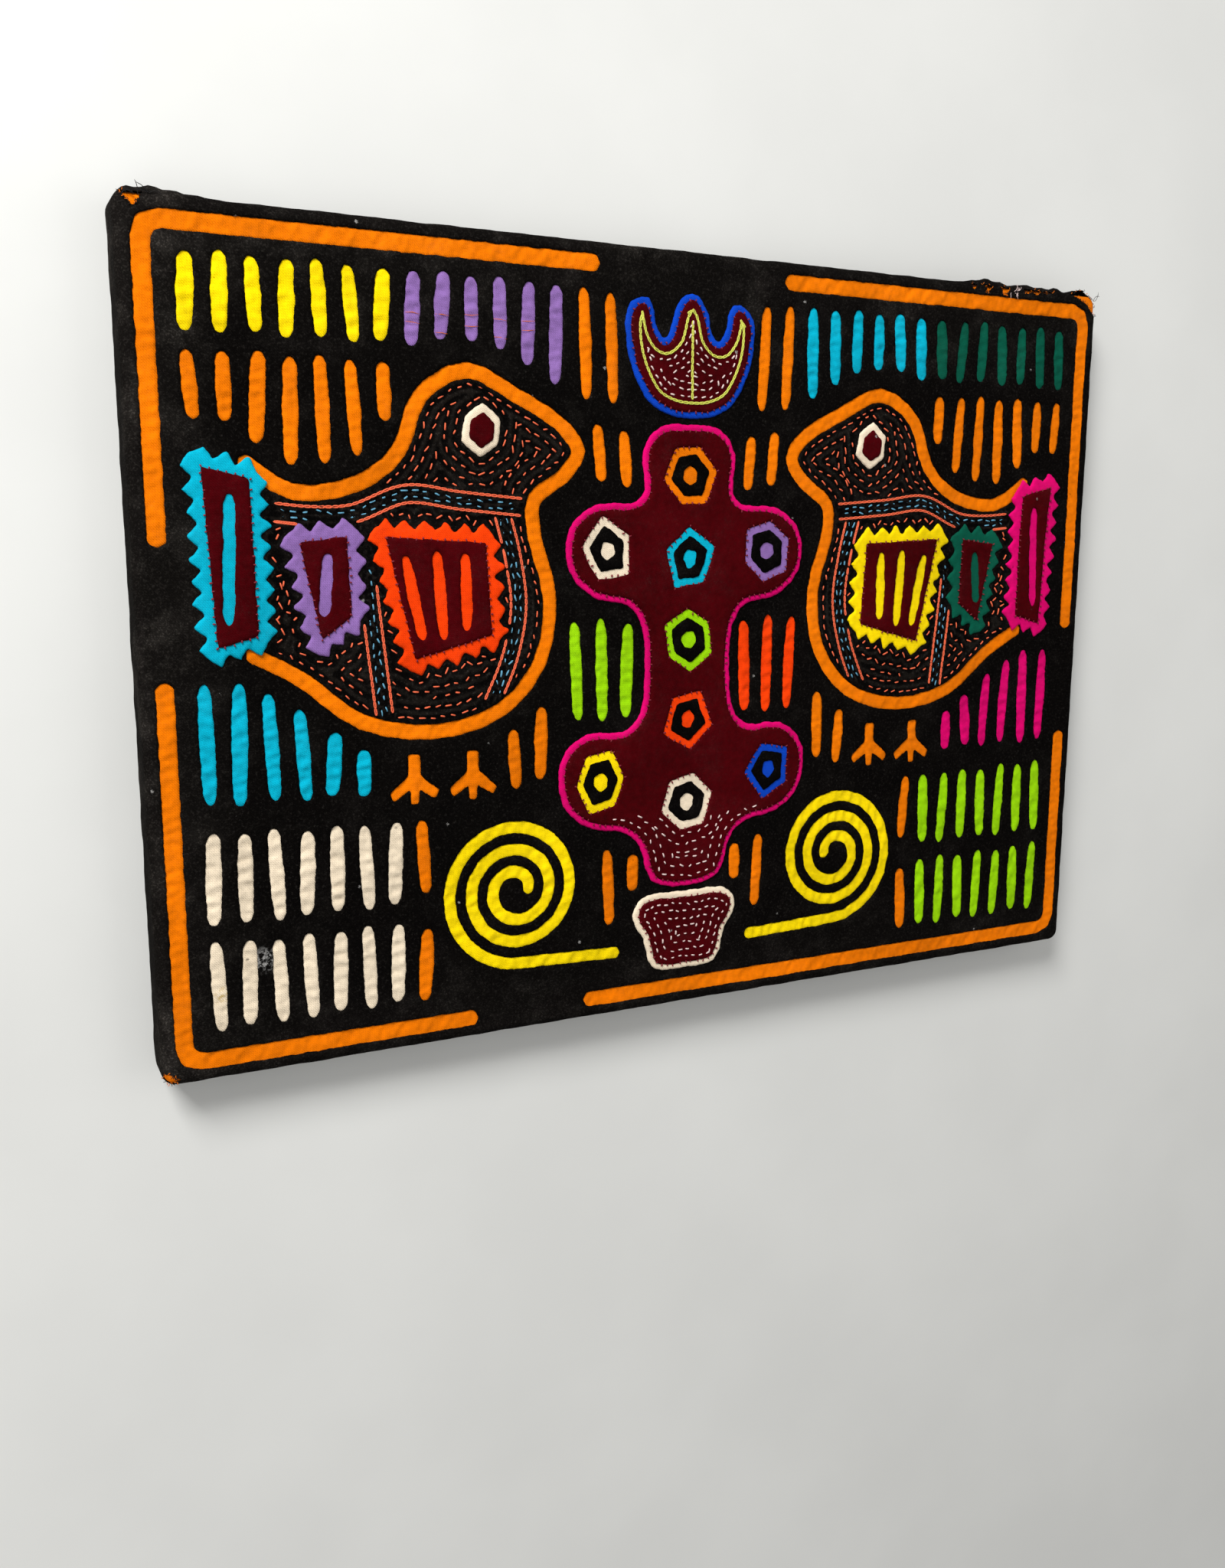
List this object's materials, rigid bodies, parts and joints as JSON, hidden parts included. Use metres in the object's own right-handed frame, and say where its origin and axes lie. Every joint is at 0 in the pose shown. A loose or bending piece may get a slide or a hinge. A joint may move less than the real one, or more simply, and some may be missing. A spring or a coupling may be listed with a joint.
{
  "type": "mola panel on stretcher frame",
  "caption": "Flat framed textile of cut-through and applied cotton: mirrored birds, a plant, spirals and rows of slits in bright cloth on black, for a wall or shelf.",
  "frame": {"origin": "centre of the panel's rectangle, on the flat back of the hem that it lies on", "axes": "+X along the width of the design, +Y up the design, +Z out of the worked face"},
  "size_m": [0.42, 0.3, 0.022],
  "materials": {
    "maroon_cotton": "plain-weave cotton, matt",
    "cream_cotton": "plain-weave cotton, matt",
    "blue_cotton": "plain-weave cotton, matt",
    "bare_pine": "bare planed softwood",
    "lilac_cotton": "plain-weave cotton, matt",
    "turquoise_cotton": "plain-weave cotton, matt",
    "magenta_cotton": "plain-weave cotton, matt",
    "lime_cotton": "plain-weave cotton, matt",
    "yellow_cotton": "plain-weave cotton, matt",
    "teal_cotton": "plain-weave cotton, matt",
    "red_orange_cotton": "plain-weave cotton, matt",
    "black_cotton": "dusty black plain-weave cotton, faded at the folds",
    "orange_cotton": "plain-weave cotton, matt"
  },
  "bodies": {
    "root": {"eye_face_left": "maroon_cotton", "eye_face_right": "maroon_cotton", "eye_rim_left": "cream_cotton", "eye_rim_right": "cream_cotton", "flower_face": "maroon_cotton", "flower_rim": "blue_cotton", "frame_bar_bottom": "bare_pine", "frame_bar_left": "bare_pine", "frame_bar_right": "bare_pine", "frame_bar_top": "bare_pine", "patch_crest_left": "lilac_cotton", "patch_crest_right": "turquoise_cotton", "patch_flank_left": "turquoise_cotton", "patch_flank_right": "magenta_cotton", "patch_ground_left": "cream_cotton", "patch_ground_right": "lime_cotton", "patch_sky_left": "yellow_cotton", "patch_sky_right": "teal_cotton", "patch_spiral_left": "yellow_cotton", "patch_spiral_right": "yellow_cotton", "patch_waist_left": "lime_cotton", "patch_waist_right": "red_orange_cotton", "plant_face": "maroon_cotton", "plant_rim": "magenta_cotton", "pot_face": "maroon_cotton", "pot_rim": "cream_cotton", "shoulder_face_left": "maroon_cotton", "shoulder_face_right": "maroon_cotton", "shoulder_teeth_left": "lilac_cotton", "shoulder_teeth_right": "teal_cotton", "spot_face_1": "black_cotton", "spot_face_2": "black_cotton", "spot_face_3": "black_cotton", "spot_face_4": "black_cotton", "spot_face_5": "black_cotton", "spot_face_6": "black_cotton", "spot_face_7": "black_cotton", "spot_face_8": "black_cotton", "spot_face_9": "black_cotton", "spot_ring_1": "orange_cotton", "spot_ring_2": "turquoise_cotton", "spot_ring_3": "lime_cotton", "spot_ring_4": "red_orange_cotton", "spot_ring_5": "cream_cotton", "spot_ring_6": "cream_cotton", "spot_ring_7": "lilac_cotton", "spot_ring_8": "yellow_cotton", "spot_ring_9": "blue_cotton", "tail_face_left": "maroon_cotton", "tail_face_right": "maroon_cotton", "tail_teeth_left": "turquoise_cotton", "tail_teeth_right": "magenta_cotton", "top_cloth": "black_cotton", "under_cloth": "orange_cotton", "wing_face_left": "maroon_cotton", "wing_face_right": "maroon_cotton", "wing_teeth_left": "red_orange_cotton", "wing_teeth_right": "yellow_cotton"}
  },
  "joints": []
}
